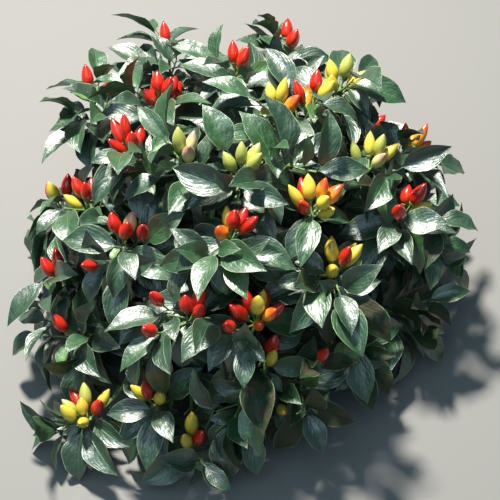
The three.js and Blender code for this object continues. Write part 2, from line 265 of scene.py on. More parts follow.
# Each bough carries the first mass of its group, and side branches carry the others. A mass lists
# its shoots: the bearing of the fruit bunch in degrees, anticlockwise from +X, its reach, its
# height, and its fruit, a letter each: Red, Orange, Yellow, Green or Blushed.
BOUGHS = {
    "centre": {
        "crown": ((178, 62, 262, "GBB"), (267, 24, 272, "GGGG"), (2, 50, 262, "")),
    },
    "front": {
        "front_crown": ((262, 82, 250, "RRRYO"),),
        "front_flank": ((276, 142, 196, "YOYRRROR"), (279, 164, 140, "YR")),
        "front_left_flank": ((248, 147, 190, "RRR"),),
        "front_skirt": ((268, 190, 96, ""), (293, 172, 104, "")),
    },
    "front_left": {
        "left_front_shoulder": ((202, 137, 200, "RRBR"),),
        "left_front_skirt": ((226, 250, 66, "YYGGYRRY"),),
        "front_left_skirt": ((241, 201, 96, "RYY"), (255, 215, 56, "YRY")),
        "left_skirt": ((206, 208, 88, "R"),),
    },
    "left": {
        "left_shoulder": ((160, 127, 226, "RRRRR"),),
        "left_flank": ((174, 168, 172, "RRRY"), (190, 206, 102, "RR")),
        "back_left_shoulder": ((130, 140, 230, "RRRRRR"),),
    },
    "back": {
        "back_shoulder": ((94, 142, 232, "RRO"),),
        "back_left_skirt": ((138, 224, 184, "R"), (160, 226, 84, "RYR")),
        "back_flank": ((112, 222, 194, "R"), (124, 226, 92, "YOYR")),
        "back_skirt": ((78, 222, 190, "RRO"), (95, 226, 90, "YY")),
    },
    "back_right": {
        "back_crown": ((62, 73, 258, "YYO"), (50, 113, 248, "RYYRO")),
        "back_right_shoulder": ((51, 165, 227, "GYYYGY"),),
        "right_back_flank": ((24, 196, 172, "OROY"),),
        "back_right_skirt": ((50, 216, 112, "RRY"), (27, 222, 66, "R")),
    },
    "right": {
        "right_crown": ((323, 90, 258, "OYOYOYRYR"),),
        "right_shoulder": ((13, 139, 218, "GYYBBG"),),
        "right_flank": ((0, 170, 180, "RRY"), (2, 206, 112, "R")),
        "right_front_flank": ((316, 134, 208, "RYYYYY"),),
        "right_front_skirt": ((316, 164, 116, ""), (342, 188, 86, "")),
    },
}
BOUGH_BEARINGS = {
    "front": 268, "front_left": 222, "left": 158, "back": 104, "back_right": 48, "right": 336,
}
FRUIT_SLOTS = {
    "R": "fruit_red", "O": "fruit_orange", "Y": "fruit_yellow", "G": "fruit_green",
    "B": "fruit_blush",
}

# The photograph's view: where the camera looks, how steeply and from how far, and its focal length
# over the picture's width
VIEW_TARGET = Vector((5, -32, 125)) * MM
VIEW_PITCH = math.radians(55)
VIEW_DISTANCE = 1.3
SENSOR_WIDTH = 36
FOCAL_SHARE = 2.6

# The stage: lamps with place and width in metres, power in watts, and colour
LAMPS = {
    "key light": ((-0.42, 0.75, 2.1), 0.25, 162, (1.0, 0.97, 0.9)),
    "fill light": ((-0.4, -0.9, 2.1), 2.2, 19, (0.6, 0.85, 1.0)),
}
LAMP_TARGET = Vector((0, 0, 0.12))
SKY_COLOUR, SKY_STRENGTH = (0.5, 0.78, 1.0, 1), 0.19
FLOOR_COLOUR, FLOOR_ROUGHNESS = (0.18, 0.176, 0.168, 1), 0.9
FLOOR_SIZE = 9


def mix(a, b, t):
    return a + (b - a) * t


def vary(draw, low, high):
    """A random value between two limits."""
    return mix(low, high, draw())


def random_from(seed):
    """A seeded source of even random numbers from 0 to 1, the same on every run."""
    state = (seed + 1) * 747796405 % 2**32

    def draw():
        nonlocal state
        state = (state * 1664525 + 1013904223) % 2**32
        return state / 2**32

    return draw


def polar(bearing, reach, height):
    """A point by its bearing in degrees, its reach from the middle and its height."""
    angle = math.radians(bearing)
    return Vector((reach * math.cos(angle), reach * math.sin(angle), height))


def sideways(axis, angle):
    """A unit vector square to the axis, turned about it by the angle."""
    flat = UP if abs(axis.z) < 0.9 else Vector((1, 0, 0))
    return Quaternion(axis, angle) @ axis.cross(flat).normalized()


class Bend:
    """A curve from a start to an end that leans towards a handle."""

    def __init__(self, start, handle, end):
        self.start, self.handle, self.end = start, handle, end

    def point(self, t):
        return self.start * (1 - t) ** 2 + self.handle * 2 * t * (1 - t) + self.end * t * t

    def tangent(self, t):
        return ((self.handle - self.start) * (1 - t) + (self.end - self.handle) * t).normalized()

    def up_to(self, t):
        return Bend(self.start, self.start.lerp(self.handle, t), self.point(t))


# How the plant is laid out

def plan_mass(name, rows):
    """Where the shoots of a mass end, below their fruit, and the foot that they spring from."""
    shoots = []
    for bearing, reach, height, fruits in rows:
        bunch = polar(bearing, reach, height)
        outward = (bunch - GROWTH_CENTRE).normalized()
        heading = (outward * BUNCH_OUT + UP * BUNCH_UP + SUNWARD).normalized()
        tip = bunch - heading * FRUIT_DEPTH
        shoots.append(SimpleNamespace(tip=tip, outward=outward, heading=heading, fruits=fruits))
    middle = sum((shoot.tip for shoot in shoots), Vector()) / len(shoots)
    backwards = min(SHOOT_LENGTH - FRUIT_DEPTH, (middle - GROWTH_CENTRE).length * FOOT_SHARE)
    foot = middle + (GROWTH_CENTRE - middle).normalized() * backwards
    foot.z = max(foot.z - FOOT_DROP, LOWEST_FOOT)
    for shoot in shoots:
        handle = foot.lerp(shoot.tip, 0.5) - UP * SHOOT_SAG
        shoot.curve = Bend(foot, handle, shoot.tip)
    return SimpleNamespace(name=name, foot=foot, shoots=shoots)


def limb_curve(start, mass):
    """The limb from a point on its parent to the foot of a mass."""
    span = (mass.foot - start).length
    handle = mass.foot - mass.shoots[0].curve.tangent(0) * span * LIMB_HANDLE_SHARE
    return Bend(start, handle, mass.foot)


def stem_curve():
    top = UP * STEM_HEIGHT + STEM_LEAN
    return Bend(Vector(), UP * STEM_HEIGHT * STEM_HANDLE_SHARE, top)


def side_fork(mass, i):
    """Where on its bough a side branch forks off, by share of the bough's length."""
    if mass.foot.z < LOW_MASS_HEIGHT:
        return LOW_FORK + LOW_FORK_STEP * i
    return HIGH_FORK + HIGH_FORK_STEP * i


def plan_plant():
    """The stem, its boughs, their side branches, and the masses at the ends of both."""
    stem = stem_curve()
    masses, limbs = [], []
    for index, (bough_name, group) in enumerate(BOUGHS.items()):
        planned = [plan_mass(name, rows) for name, rows in group.items()]
        masses += planned
        curve = limb_curve(stem.point(CENTRE_BOUGH_FORK), planned[0])
        if bough_name in BOUGH_BEARINGS:
            start = stem.point(BOUGH_HEIGHTS[index % 2] / STEM_HEIGHT)
            handle = start + polar(BOUGH_BEARINGS[bough_name], BOUGH_SWEEP, BOUGH_RISE)
            curve = Bend(start, handle, planned[0].foot)
        limbs.append(SimpleNamespace(name=f"bough_{bough_name}", curve=curve, radii=BOUGH_RADII))
        for i, mass in enumerate(planned[1:]):
            side = limb_curve(curve.point(side_fork(mass, i)), mass)
            limbs.append(SimpleNamespace(name=f"branch_{mass.name}", curve=side, radii=BRANCH_RADII))
    return SimpleNamespace(stem=stem, masses=masses, limbs=limbs)


# What has been grown already

class Room:
    """The crown's space in small cells, each free or taken."""

    CELL = 3.0
    LOW = np.array((-270.0, -270.0, -10.0))
    CELLS = (180, 180, 112)

    def __init__(self):
        self.taken = np.zeros(self.CELLS, bool)

    def cells(self, points):
        cells = ((points - self.LOW) / self.CELL).astype(int)
        return tuple(np.clip(cells, 0, np.array(self.CELLS) - 1).T)

    def crowding(self, points):
        """The share of the points that lie in taken cells."""
        return self.taken[self.cells(points)].mean()

    def take(self, points):
        self.taken[self.cells(points)] = True


BALL = np.array([(x, y, z) for x in (-1, 0, 1) for y in (-1, 0, 1) for z in (-1, 0, 1)])
CORNERS = [Vector((x, y, z)) for x in (-1, 1) for y in (-1, 1) for z in (-1, 1)]
STEPS_ALONG = 24


def take_along(space, curve, radius, first=0.0):
    """Takes the cells along a curve, in a ball at each step."""
    for t in np.linspace(first, 1.0, STEPS_ALONG):
        space.take(BALL * radius + np.array(curve.point(t)))


def shoot_distance(point, mass):
    """How far a point is from the nearest shoot of a mass."""
    distances = []
    for shoot in mass.shoots:
        line = shoot.tip - mass.foot
        share = min(1, max(0, (point - mass.foot).dot(line) / line.length_squared))
        distances.append((mass.foot + line * share - point).length)
    return min(distances)


def inside_crown(point):
    """Whether a point is above the ground and within the crown's rounded outline."""
    x = abs(point.x / CROWN_HALF_WIDTH) ** CROWN_SHAPE
    y = abs(point.y / CROWN_HALF_DEPTH) ** CROWN_SHAPE
    z = abs(point.z / CROWN_HEIGHT) ** CROWN_SHAPE
    return point.z > GROUND_CLEARANCE and x + y + z < 1


def in_own_space(point, mass):
    """Whether a point is nearer to its own mass than to any other, but for the overhang."""
    own = shoot_distance(point, mass) - OVERHANG
    return all(other is mass or shoot_distance(point, other) > own for other in plant.masses)


# Leaves

def blade_half_width(t, width):
    """Half the width of petiole and blade, by share of the leaf's length: a tapered base, widest
    before the middle, and a drawn-out point."""
    s = np.clip((t - PETIOLE_SHARE) / (1 - PETIOLE_SHARE), 0, 1)
    roundness = BLADE_FULLNESS + BLADE_POINT * s
    blade = np.sin(np.pi * s**BLADE_WIDEST).clip(0, 1) ** roundness * width
    return np.maximum(blade, PETIOLE_RADIUS * (1 - s))


MIDRIB_STEPS = np.linspace(0, 1, 25)


def midrib_line(leaf, t):
    """How far out and how far down the midrib is, and its slope: it droops more towards the tip."""
    slope = leaf.bend * MIDRIB_STEPS**DROOP_GROWTH
    middle = (slope[1:] + slope[:-1]) / 2
    out = np.concatenate(([0], np.cumsum(np.cos(middle)))) / (len(MIDRIB_STEPS) - 1)
    down = np.concatenate(([0], np.cumsum(np.sin(middle)))) / (len(MIDRIB_STEPS) - 1)
    x = np.interp(t, MIDRIB_STEPS, out) * leaf.length
    z = np.interp(t, MIDRIB_STEPS, down) * leaf.length
    return x, z, leaf.bend * t**DROOP_GROWTH


def leaf_points(leaf, t, side, lift=0.0):
    """Points on a leaf, in millimetres, by share of its length and of its half width."""
    along, normal = np.array(leaf.along), np.array(leaf.normal)
    across = np.cross(along, normal)
    x, drop, turn = midrib_line(leaf, t)
    up = np.outer(np.cos(turn), normal) + np.outer(np.sin(turn), along)
    twist = leaf.twist * t
    spread = np.outer(np.cos(twist), across) + up * np.sin(twist)[:, None]
    top = up * np.cos(twist)[:, None] - np.outer(np.sin(twist), across)
    half = blade_half_width(t, leaf.length * leaf.slimness)
    edge = np.abs(side)
    height = half * leaf.fold * (edge - FOLD_ROUNDING * edge**2)
    ripple = np.sin(leaf.phase + WAVE_RATE * t + SIDE_SHIFT * np.sign(side))
    height += leaf.wave * ripple * edge**2 * half / WAVE_HALF_WIDTH
    return (
        np.array(leaf.root) + np.outer(x, along) - np.outer(drop, normal)
        + spread * (side * half)[:, None] + top * (height + lift)[:, None]
    )


PROBE_ROWS, PROBE_COLUMNS, PROBE_START = 22, 9, 0.2
PROBE_T, PROBE_SIDE = (
    grid.ravel()
    for grid in np.meshgrid(
        np.linspace(PROBE_START, 1, PROBE_ROWS), np.linspace(-1, 1, PROBE_COLUMNS))
)
TIP_PROBE = PROBE_ROWS - 1
MIDDLE_PROBE = PROBE_COLUMNS // 2 * PROBE_ROWS + PROBE_ROWS // 2 - 1


def has_room(leaf, points, mass):
    """Whether a leaf keeps to the crown and to its mass, above the ground and clear of the rest."""
    tip, middle = Vector(points[TIP_PROBE]), Vector(points[MIDDLE_PROBE])
    if not (inside_crown(tip) and inside_crown(middle) and in_own_space(tip, mass)):
        return False
    if points[:, 2].min() < GROUND_CLEARANCE or room.crowding(points) > LEAF_CROWDING:
        return False
    if leaf.tone != "young" and open_air.crowding(points) > LIGHT_CROWDING:
        return False
    return fruit_space.crowding(points) == 0


def grow_leaf(mass, shoot, root, axis, turn, spread, length, bend, tone=None):
    """Tries a leaf at its planned angles, then turned and leaning otherwise, and says whether
    one has room."""
    draw = shoot.draw
    twist = LEAF_TWIST * (draw() - 0.5)
    slimness = LEAF_SLIMNESS * vary(draw, *SLIMNESS_RANGE)
    wave, phase = vary(draw, *WAVE_RANGE), WAVE_TURN * draw()
    fold = LEAF_FOLD * vary(draw, *FOLD_RANGE)
    hang = leaf_hang(root)
    slimness *= 1 - HANG_NARROWING * max(0, hang - STRONG_HANG)
    for attempt in range(LEAF_ATTEMPTS):
        swing = turn + (1 if attempt % 2 else -1) * SWING_STEP * attempt
        lean = spread + LEAN_STEP * (attempt % 3 - 1) * min(1, attempt)
        direction = axis * math.cos(lean) + sideways(axis, swing) * math.sin(lean) - UP * hang
        along = direction.normalized()
        face = axis + UP * FACE_UP
        normal = (face - along * face.dot(along)).normalized()
        leaf = SimpleNamespace(
            root=root, along=along, normal=normal, length=length * (1 - SHRINK_STEP * attempt),
            bend=bend, slimness=slimness, fold=fold, twist=twist, wave=wave, phase=phase, tone=tone,
        )
        points = leaf_points(leaf, PROBE_T, PROBE_SIDE)
        if not has_room(leaf, points, mass):
            continue
        for lift in (-LEAF_TAKES, 0, LEAF_TAKES):
            room.take(leaf_points(leaf, PROBE_T, PROBE_SIDE, np.full(len(PROBE_T), lift)))
        leaf.tone = tone or leaf_tone(Vector(points[MIDDLE_PROBE]), draw())
        leaves.append(leaf)
        return True
    return False


def leaf_hang(root):
    """Leaves hang on the crown's flanks, most on the left one, and spread on its top, on its sunny
    side and near the ground."""
    if math.hypot(root.x, root.y) < FLANK_REACH or root.y > SUNNY_SIDE:
        return LEAST_HANG
    most = LEFT_HANG if root.x < LEFT_FLANK else FLANK_HANG
    return LEAST_HANG + most * max(0, 1 - abs(root.z / CROWN_HEIGHT - HANG_HEIGHT) / HANG_SPAN)


def leaf_tone(middle, chance):
    """Often dusty low on the front right, seldom so in the rest of the lower half, more often
    lit by a painted glow of light shining through from behind towards the top, and otherwise deep or
    plain green."""
    height = middle.z / CROWN_HEIGHT
    low_front = (
        middle.z < LOW_FRONT_TOP and middle.y < LOW_FRONT_BACK and middle.x > LOW_FRONT_LEFT
    )
    if chance < (DUSTY_LOW_FRONT if low_front else DUSTY_ELSEWHERE * (height < 0.5)):
        return "dusty"
    # Painted light shining through from behind, more often near the top
    if chance > 1 - BACKLIT_AT_TOP * height:
        return "fresh"
    return "deep" if chance < mix(DEEP_BELOW, DEEP_AT_TOP, height) else "green"


def grow_shoot_leaf(mass, shoot, i):
    """The leaves stand closer to the shoot near its tip, and spread and bend more below."""
    down = (i + 0.5) / LEAVES_PER_SHOOT
    share = mix(*SHOOT_LEAF_PLACES, down)
    first_spread = FRUITING_SPREAD if shoot.fruits else LEAFY_SPREAD
    spread = mix(first_spread, LOWEST_SPREAD, down) + OUTWARD_SPREAD * shoot.outward.z
    spread += SPREAD_RANGE * (shoot.draw() - 0.5)
    length = LEAF_LENGTH * vary(shoot.draw, *SHOOT_LEAF_SIZES)
    bend = mix(*SHOOT_LEAF_BENDS, down) * vary(shoot.draw, *BEND_RANGE)
    axis = shoot.curve.tangent(share)
    turn = shoot.turn + i * GOLDEN_ANGLE
    grow_leaf(mass, shoot, shoot.curve.point(share), axis, turn, spread, length, bend)


def grow_twig(mass, shoot, i):
    """A side twig in free space, which ends in leaves of its own."""
    fork = TWIG_FORK + TWIG_FORK_STEP * i + TWIG_FORK_RANGE * shoot.draw()
    turn = shoot.turn + TWIG_TURN + i * GOLDEN_ANGLE
    length = vary(shoot.draw, *TWIG_LENGTHS)
    axis, root = shoot.curve.tangent(fork), shoot.curve.point(fork)
    for attempt in range(TWIG_ATTEMPTS):
        side = sideways(axis, turn + attempt * TWIG_TURN_STEP)
        heading = (axis + side * TWIG_SPREAD).normalized()
        tip = root + heading * length
        way = np.array([root.lerp(tip, t) for t in TWIG_PROBES])
        if not inside_crown(tip) or not in_own_space(tip, mass):
            continue
        if room.crowding(way) + open_air.crowding(way) == 0:
            curve = Bend(root, root.lerp(tip, 0.5) - axis * TWIG_SAG, tip)
            take_along(room, curve, TWIG_RADII[0], TWIG_TAKES_FROM)
            fruitful = grow_single_fruit(shoot, curve)
            shoot.twigs.append(SimpleNamespace(curve=curve, bears_to=1.0 if fruitful else 0.0))
            return


def grow_twig_leaf(mass, shoot, twig, i):
    """The first leaf ends the twig, and the twig is drawn as far as its outermost leaf."""
    share = mix(*TWIG_LEAF_PLACES, i / (LEAVES_PER_TWIG - 1))
    length = LEAF_LENGTH * vary(shoot.draw, *TWIG_LEAF_SIZES)
    spread = TWIG_END_SPREAD if i == 0 else vary(shoot.draw, *TWIG_LEAF_SPREADS)
    axis, root = twig.curve.tangent(share), twig.curve.point(share)
    turn = shoot.turn + TWIG_LEAF_TURN + i * GOLDEN_ANGLE
    if grow_leaf(mass, shoot, root, axis, turn, spread, length, TWIG_LEAF_BEND):
        twig.bears_to = max(twig.bears_to, share)


def grow_young_leaves(mass, shoot):
    """Small leaves among the fruit, some of them young and bright."""
    for i in range(YOUNG_LEAVES):
        share = YOUNG_PLACE - YOUNG_PLACE_STEP * i
        length = vary(shoot.draw, *YOUNG_LENGTHS)
        axis, root = shoot.curve.tangent(share), shoot.curve.point(share)
        turn = shoot.turn + YOUNG_TURN + i * YOUNG_TURN_STEP
        tone = "young" if shoot.draw() < YOUNG_CHANCE else "green"
        grow_leaf(mass, shoot, root, axis, turn, YOUNG_SPREAD, length, YOUNG_BEND, tone)


# Fruit

def fruit_half_width(t):
    """The shape of a fruit: rounded shoulders, widest before the middle, and a blunt point."""
    if not 0 < t < 1:
        return 0
    return math.sin(math.pi * t**FRUIT_WIDEST) ** (FRUIT_FULLNESS + FRUIT_POINT * t)


FRUIT_PROBES = [(t, fruit_half_width(t)) for t in (0.08, 0.25, 0.45, 0.65, 0.85)]


def fruit_overlap(fruit, others):
    """How deeply a fruit would sink into those that the bunch has already."""
    worst = 0
    for other in others:
        for t, width in FRUIT_PROBES:
            here = fruit.base + fruit.axis * fruit.length * t
            for other_t, other_width in FRUIT_PROBES:
                gap = here - other.base - other.axis * other.length * other_t
                widths = width * fruit.radius + other_width * other.radius
                worst = max(worst, widths - gap.length)
    return worst


def grow_bunch(shoot):
    """The first fruit ends the shoot, and the others stand round it from a little lower down, each
    at the first turn where it has room, or else where it sinks least into the rest."""
    heading = shoot.heading
    bunch = []
    turn = shoot.draw() * math.tau
    for i, colour in enumerate(shoot.fruits):
        root = shoot.curve.point(FRUIT_ROOT - FRUIT_ROOT_STEP * min(i, FRUIT_ROOTS))
        length = FRUIT_LENGTH * vary(shoot.draw, *FRUIT_LENGTH_RANGE)
        radius = FRUIT_RADIUS * vary(shoot.draw, *FRUIT_RADIUS_RANGE)
        stalk = PEDICEL_LENGTH * vary(shoot.draw, *PEDICEL_LENGTH_RANGE)
        spin = shoot.draw() * math.tau
        turn += GOLDEN_ANGLE
        first_spread = FIRST_SPREAD if i == 0 else RING_SPREAD + RING_SPREAD_STEP * i
        tries = []
        for attempt in range(FRUIT_TRIES):
            spread, angle = first_spread + TRY_SPREAD * attempt, turn + TRY_TURN * attempt
            direction = heading * math.cos(spread) + sideways(heading, angle) * math.sin(spread)
            base = root + direction * stalk
            lean = (direction + UP * FRUIT_UPRIGHT).normalized()
            handle = root + direction * stalk * PEDICEL_HANDLE - UP * PEDICEL_SAG
            tries.append(SimpleNamespace(
                base=base, axis=lean, length=length, radius=radius, colour=colour, spin=spin,
                pedicel=Bend(root, handle, base + lean * CALYX_DEPTH),
            ))
            if fruit_overlap(tries[-1], bunch) < FRUIT_TOUCH:
                break
        fruit = min(tries, key=lambda one: fruit_overlap(one, bunch))
        bunch.append(fruit)
        end = fruit.base + fruit.axis * length
        core = Bend(fruit.base, fruit.base.lerp(end, 0.5), end)
        take_along(room, core, radius * FRUIT_TAKES)
        take_along(fruit_space, core, radius * FRUIT_KEEPS)
        take_along(room, fruit.pedicel, PEDICEL_RADIUS, PEDICEL_TAKES_FROM)
        if len(shoot.fruits) > 1:
            above = Bend(fruit.base.lerp(end, OPEN_FROM), end, end + OPEN_ABOVE)
            take_along(open_air, above, FRUIT_CLEARANCE)
    fruits.extend(bunch)


def grow_single_fruit(shoot, twig):
    """Some side twigs deep in the crown end in one fruit, where there is room for it."""
    if shoot.draw() > SINGLE_FRUIT_CHANCE:
        return False
    heading = (twig.tangent(1) + UP * SINGLE_FRUIT_UP).normalized()
    way = np.array([
        twig.end + heading * reach + corner * SINGLE_FRUIT_ROOM
        for reach in SINGLE_FRUIT_PROBES for corner in CORNERS
    ])
    farther_out = (twig.end + heading * SINGLE_FRUIT_REACH) * SINGLE_FRUIT_DEPTH
    if room.crowding(way) > 0 or not inside_crown(farther_out):
        return False
    colour = SINGLE_FRUITS[int(shoot.draw() * len(SINGLE_FRUITS))]
    grow_bunch(SimpleNamespace(curve=twig, heading=heading, fruits=colour, draw=shoot.draw))
    return True


def grow_limb_leaves(limb, index):
    """Leaves on the green branches, inside the crown. They keep to the space of the first mass whose
    name ends the branch's own."""
    mass = next(mass for mass in plant.masses if limb.name.endswith(mass.name))
    step, start = LIMB_SEEDS
    shoot = SimpleNamespace(draw=random_from(index * step + start))
    for i in range(LEAVES_PER_LIMB):
        share = mix(*LIMB_LEAF_PLACES, i / (LEAVES_PER_LIMB - 1))
        length = LEAF_LENGTH * vary(shoot.draw, *LIMB_LEAF_SIZES)
        axis, root = limb.curve.tangent(share), limb.curve.point(share)
        turn = i * GOLDEN_ANGLE
        grow_leaf(mass, shoot, root, axis, turn, LIMB_LEAF_SPREAD, length, LIMB_LEAF_BEND)


def grow_all():
    """Limbs and bunches come first, and leaves and twigs fill what room is left, a round at a time
    over all the shoots."""
    take_along(room, plant.stem, STEM_RADIUS)
    for limb in plant.limbs:
        take_along(room, limb.curve, limb.radii[1])
    shoots = [(mass, shoot) for mass in plant.masses for shoot in mass.shoots]
    step, start = SHOOT_SEEDS
    for index, (mass, shoot) in enumerate(shoots):
        shoot.draw = random_from(index * step + start)
        shoot.turn = SHOOT_FACING + SHOOT_TURN * (shoot.draw() - 0.5)
        shoot.twigs = []
        take_along(room, shoot.curve, SHOOT_RADII[0])
        grow_bunch(shoot)
    for i in range(LEAVES_PER_SHOOT):
        for mass, shoot in shoots:
            grow_shoot_leaf(mass, shoot, i)
            if i == YOUNG_AFTER:
                grow_young_leaves(mass, shoot)
    for i in range(TWIGS_PER_SHOOT):
        for mass, shoot in shoots:
            grow_twig(mass, shoot, i)
    for i in range(LEAVES_PER_TWIG):
        for mass, shoot in shoots:
            for twig in shoot.twigs:
                grow_twig_leaf(mass, shoot, twig, i)
    for index, limb in enumerate(plant.limbs):
        if limb.name.startswith("branch"):
            grow_limb_leaves(limb, index)


# Meshes

def new_shape():
    """An empty bmesh whose shapes keep their UV map."""
    bm = bmesh.new()
    bm.loops.layers.uv.new("UVMap")
    return bm


def finish_mesh(bm, name, material):
    """Turns a bmesh in millimetres into a piece in metres, at the origin."""
    bmesh.ops.scale(bm, vec=(MM, MM, MM), verts=bm.verts)
    mesh = bpy.data.meshes.new(name)
    bm.to_mesh(mesh)
    bm.free()
    mesh.shade_smooth()
    mesh.materials.append(material)
    piece = bpy.data.objects.new(name, mesh)
    bpy.context.scene.collection.objects.link(piece)
    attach(piece, "root")
    return piece


def new_grid(bm, columns, rows):
    return bmesh.ops.create_grid(
        bm, x_segments=columns, y_segments=rows, size=0.5, calc_uvs=True)["verts"]


def add_tube(bm, curve, radius_at, sides, rings, relief=None):
    """A limb or pedicel, from a grid that is rolled up round the curve, with both ends closed."""
    grid = new_grid(bm, sides, rings)
    normal = sideways(curve.tangent(0), 0)
    frames = []
    for ring in range(rings + 1):
        t = ring / rings
        tangent = curve.tangent(t)
        normal = (normal - tangent * normal.dot(tangent)).normalized()
        frames.append((curve.point(t), normal, tangent.cross(normal), radius_at(t)))
    for vert in grid:
        t, turn = vert.co.y + 0.5, (vert.co.x + 0.5) * math.tau
        centre, normal, binormal, radius = frames[round(t * rings)]
        if relief:
            radius += relief(t, turn)
        vert.co = centre + (normal * math.cos(turn) + binormal * math.sin(turn)) * radius
    bmesh.ops.remove_doubles(bm, verts=grid, dist=MERGE_DISTANCE)
    rim = [edge for vert in grid if vert.is_valid for edge in vert.link_edges if edge.is_boundary]
    bmesh.ops.holes_fill(bm, edges=list(set(rim)))


def bark_relief(seed, depth):
    """Ridges that run along a limb and wander a little, with small knots."""
    draw = random_from(seed)
    shifts = [draw() * math.tau for _ in range(5)]

    def relief(t, turn):
        wander = WANDER * math.sin(WANDER_RATE * t + shifts[0])
        ridges = math.sin(RIDGES * turn + wander + shifts[1])
        ridges += FINE_SHARE * math.sin(FINE_RIDGES * turn - wander * 2 + shifts[2])
        knots = math.sin(KNOTS_ALONG * t + shifts[3]) * math.sin(KNOTS_ROUND * turn + shifts[4])
        return depth * (ridges + KNOT_SHARE * knots)

    return relief


def stem_radius(t):
    """The stem's taper, with the flare at its foot."""
    flare = max(0, 1 - t * STEM_HEIGHT / FLARE_HEIGHT) ** 2
    return mix(STEM_RADIUS, STEM_TOP_RADIUS, t) + (STEM_FOOT_RADIUS - STEM_RADIUS) * flare


def limb_radius(radii, collar):
    """A limb's taper, with a collar where it leaves its parent and a swelling at its tip."""

    def radius_at(t):
        base, tip = math.exp(-t * COLLAR_FADE), math.exp(-(1 - t) * SWELLING_FADE)
        return mix(*radii, t) + collar * base + SWELLING * tip

    return radius_at


def add_limb(bm, curve, radii, tube, index):
    """A tapering limb with its collar and its own bark relief."""
    relief = bark_relief(index * tube.seed, tube.ridge)
    add_tube(bm, curve, limb_radius(radii, tube.collar), tube.sides, tube.rings, relief)


def make_stem_and_boughs():
    bm = new_shape()
    relief = bark_relief(STEM_TUBE.seed, STEM_TUBE.ridge)
    add_tube(bm, plant.stem, stem_radius, STEM_TUBE.sides, STEM_TUBE.rings, relief)
    for index, limb in enumerate(plant.limbs):
        if limb.name.startswith("bough"):
            add_limb(bm, limb.curve, limb.radii, BOUGH_TUBE, index)
    piece = finish_mesh(bm, "stem_and_boughs", bark_material())
    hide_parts("main_stem", *[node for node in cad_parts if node.startswith("bough_")])


def make_branches():
    bm = new_shape()
    for index, limb in enumerate(plant.limbs):
        if limb.name.startswith("branch"):
            add_limb(bm, limb.curve, limb.radii, BRANCH_TUBE, index)
    piece = finish_mesh(bm, "branches", green_stem_material("branch skin"))
    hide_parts(*[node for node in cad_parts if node.startswith("branch_")])


def make_shoots():
    """Shoots, and the side twigs that bear something, drawn as far as they bear."""
    bm = new_shape()
    twig_radius = limb_radius(TWIG_RADII, TWIG_TUBE.collar)
    for mass in plant.masses:
        for index, shoot in enumerate(mass.shoots):
            add_limb(bm, shoot.curve, SHOOT_RADII, SHOOT_TUBE, index)
            for twig in shoot.twigs:
                if twig.bears_to:
                    curve = twig.curve.up_to(twig.bears_to)
                    add_tube(bm, curve, twig_radius, TWIG_TUBE.sides, TWIG_TUBE.rings)
    piece = finish_mesh(bm, "shoots", green_stem_material("shoot skin"))


def make_pedicels():
    """Each pedicel widens into the calyx, a shallow green cup round the fruit's base."""
    bm = new_shape()

    def radius_at(t):
        calyx = max(0, (t - CALYX_START) / (1 - CALYX_START)) ** CALYX_FLARE
        return PEDICEL_RADIUS + (CALYX_RADIUS - PEDICEL_RADIUS) * calyx

    for fruit in fruits:
        add_tube(bm, fruit.pedicel, radius_at, PEDICEL_TUBE.sides, PEDICEL_TUBE.rings)
    piece = finish_mesh(bm, "pedicels", green_stem_material("pedicel skin"))


def make_leaves(tone, material):
    """All the leaves of one tone, each from a grid whose first rows make the petiole."""
    bm = new_shape()
    petiole = PETIOLE_ROWS / BLADE_ROWS
    for leaf in leaves:
        if leaf.tone != tone:
            continue
        grid = new_grid(bm, BLADE_COLUMNS, BLADE_ROWS)
        v = np.array([vert.co.y + 0.5 for vert in grid])
        on_petiole = v / petiole * PETIOLE_SHARE
        on_blade = PETIOLE_SHARE + (v - petiole) / (1 - petiole) * (1 - PETIOLE_SHARE)
        t = np.where(v < petiole, on_petiole, on_blade)
        side = np.array([vert.co.x * 2 for vert in grid])
        for vert, place in zip(grid, leaf_points(leaf, t, side)):
            vert.co = place
    bmesh.ops.remove_doubles(bm, verts=bm.verts, dist=MERGE_DISTANCE)
    piece = finish_mesh(bm, f"leaves_{tone}", material)
    return piece


def fruit_form():
    """A small cone-shaped fruit, one unit long and one unit in radius, with rounded shoulders."""
    bm = new_shape()
    bmesh.ops.create_uvsphere(
        bm, u_segments=FRUIT_SIDES, v_segments=FRUIT_RINGS, radius=1, calc_uvs=True)
    for vert in bm.verts:
        t = math.acos(max(-1, min(1, -vert.co.z))) / math.pi
        around = Vector((vert.co.x, vert.co.y, 0))
        on_pole = around.length <= 1e-6
        vert.co = (Vector() if on_pole else around.normalized() * fruit_half_width(t)) + UP * t
    mesh = bpy.data.meshes.new("fruit form")
    bm.to_mesh(mesh)
    bm.free()
    return mesh


def make_fruits(colour, material):
    """All the fruit of one colour, each a turned and stretched copy of the same form."""
    form = fruit_form()
    bm = new_shape()
    for fruit in fruits:
        if fruit.colour != colour:
            continue
        start = len(bm.verts)
        bm.from_mesh(form)
        bm.verts.ensure_lookup_table()
        turned = fruit.axis.to_track_quat("Z", "Y") @ Quaternion(UP, fruit.spin)
        size = Matrix.Diagonal((fruit.radius, fruit.radius * FRUIT_FLATNESS, fruit.length, 1))
        place = Matrix.Translation(fruit.base) @ turned.to_matrix().to_4x4() @ size
        bmesh.ops.transform(bm, matrix=place, verts=bm.verts[start:])
    bpy.data.meshes.remove(form)
    piece = finish_mesh(bm, FRUIT_SLOTS[colour].replace("fruit", "fruits"), material)


# Finishes

def add_node(tree, kind, **inputs):
    """A node whose inputs are set or linked by name, with _ for a space, or by number as n0, n1."""
    made = tree.nodes.new(kind)
    for key, value in inputs.items():
        if hasattr(made, key):
            setattr(made, key, value)
            continue
        by_number = key[1:].isdigit()
        socket = made.inputs[int(key[1:]) if by_number else key.replace("_", " ")]
        if isinstance(value, bpy.types.NodeSocket):
            tree.links.new(value, socket)
        else:
            socket.default_value = value
    return made


